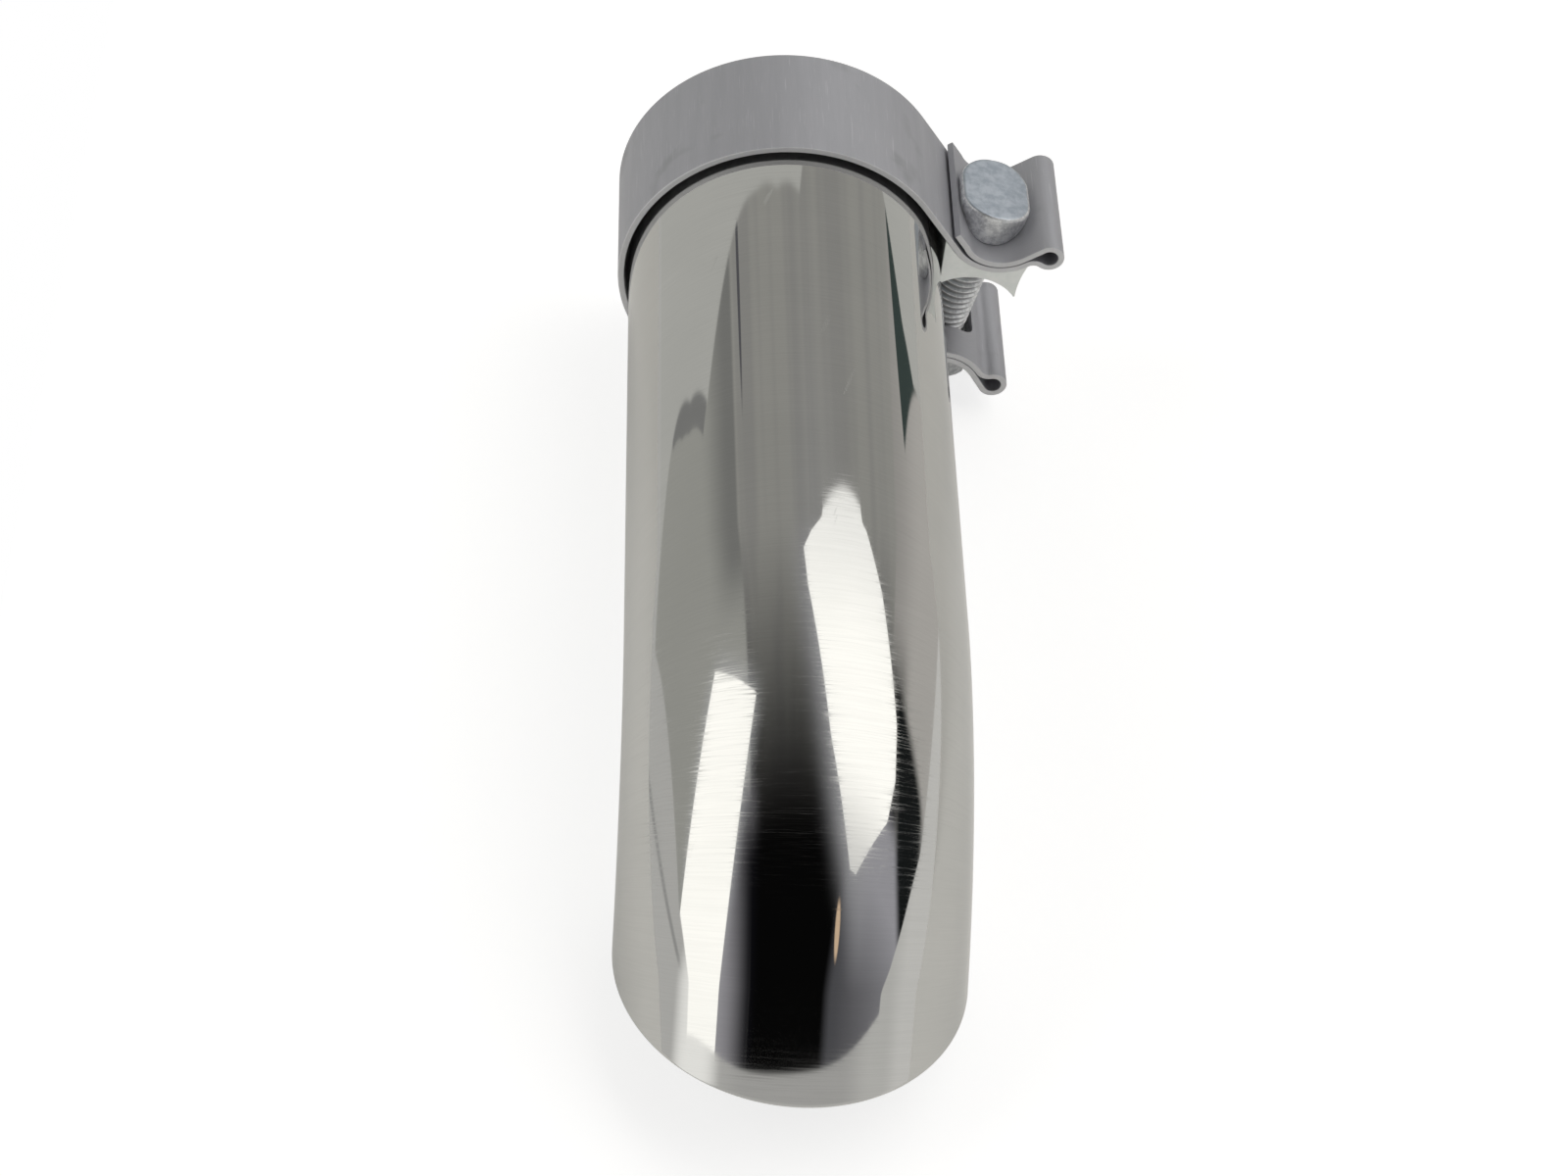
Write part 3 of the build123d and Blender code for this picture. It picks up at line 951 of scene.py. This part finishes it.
# %% The bolt's head
def head_rings():
    """Rings from the neck over the underside, wall and rim to the middle of the top."""
    angles = [360 * i / bolt_columns for i in range(bolt_columns)]
    ways = np.array([unit(angle) for angle in angles])
    corner = np.array([(head_width / 2 - head_corner), (head_length / 2 - head_corner)])
    signs = np.where(np.abs(ways) < 1e-9, 0, np.sign(ways))

    def outline(inset):
        return signs * corner + (head_corner - inset) * ways

    def underside(flat):
        return trough_height - np.sqrt(seat_radius**2 - flat[:, 0] ** 2)

    def top(flat):
        past_flat = np.maximum(np.abs(flat[:, 0]) - crown_flat, 0)
        return head_foot + head_height - crown_slope * past_flat

    def ring(flat, heights):
        return np.column_stack([flat, heights])

    neck = ways * neck_radius
    rings = []
    for i in range(9):
        flat = neck + (outline(foot_round) - neck) * i / 8
        rings.append(ring(flat, underside(flat)))
    rings.append(ring(outline(0.10), underside(outline(0.10)) + 0.10))
    wall = outline(0.0)
    low = underside(wall) + foot_round
    high = top(wall) - rim_round
    for i in range(5):
        rings.append(ring(wall, low + (high - low) * i / 5))
    for i in range(6):
        turn = radians(90 * i / 5)
        flat = outline(rim_round * (1 - cos(turn)))
        rings.append(ring(flat, top(flat) - rim_round * (1 - sin(turn))))
    for share in (0.85, 0.7, 0.55, 0.4, 0.25, 0.1):
        flat = outline(rim_round) * share
        rings.append(ring(flat, top(flat)))
    return rings


def build_bolt(shank):
    """Join the head's rings to the shank, close both ends and turn the faces outwards."""
    work = bmesh.new()
    work.from_mesh(shank)
    rings = [[work.verts.new(Vector(point) * MM) for point in ring] for ring in head_rings()]
    for lower, upper in zip(rings, rings[1:]):
        for i in range(bolt_columns):
            j = (i + 1) % bolt_columns
            work.faces.new((lower[i], lower[j], upper[j], upper[i]))
    work.faces.new(rings[-1])
    bmesh.ops.remove_doubles(work, verts=work.verts, dist=0.000004)
    open_edges = [edge for edge in work.edges if len(edge.link_faces) == 1]
    print("open edges of the bolt before closing:", len(open_edges))
    bmesh.ops.holes_fill(work, edges=open_edges, sides=0)
    bmesh.ops.recalc_face_normals(work, faces=work.faces)
    work.to_mesh(shank)
    work.free()
    return shank


bolt_mesh = finished("clamp_bolt_threaded", build_bolt(shank_mesh), 40)
bolt_place = placing(clamp_x, (0, 1, 0), clamp_y, clamp_x * bolt_reach * MM + band_middle)
bolt_mesh.transform(bolt_place)
clamp_bolt_threaded = piece("clamp_bolt_threaded", bolt_mesh, "clamp_bolt", plated)

# %% [markdown]
# ## Spacer, washer and nut
#
# These are short solid parts whose shape the solids already have. A solid comes as loose
# triangles, so a copy is welded, its flat faces are made whole again and its edges are softened.


# %% Welded copies of the small solids
def welded(node):
    """A welded copy of a solid's mesh with whole flat faces."""
    work = bmesh.new()
    work.from_mesh(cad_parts[node].data)
    bmesh.ops.remove_doubles(work, verts=work.verts, dist=0.000001)
    bmesh.ops.dissolve_limit(work, angle_limit=radians(0.6), verts=work.verts, edges=work.edges)
    bare = bpy.data.meshes.new(node)
    work.verts.index_update()
    bare.from_pydata([vert.co.copy() for vert in work.verts], [],
                     [[vert.index for vert in face.verts] for face in work.faces])
    work.free()
    return bare


small_pieces = {
    "spacer_block": ("spacer_block_cast", zinc, "cast_zinc", 0.0),
    "saddle_washer": ("saddle_washer_cast", zinc, "cast_zinc", 0.2),
    "clamp_nut": ("clamp_nut_hex", plated, "plated_steel", 0.15),
}
for node, (name, finish, slot_name, bevel) in small_pieces.items():
    piece(name, finished(name, welded(node), 32, bevel=bevel), node, finish)
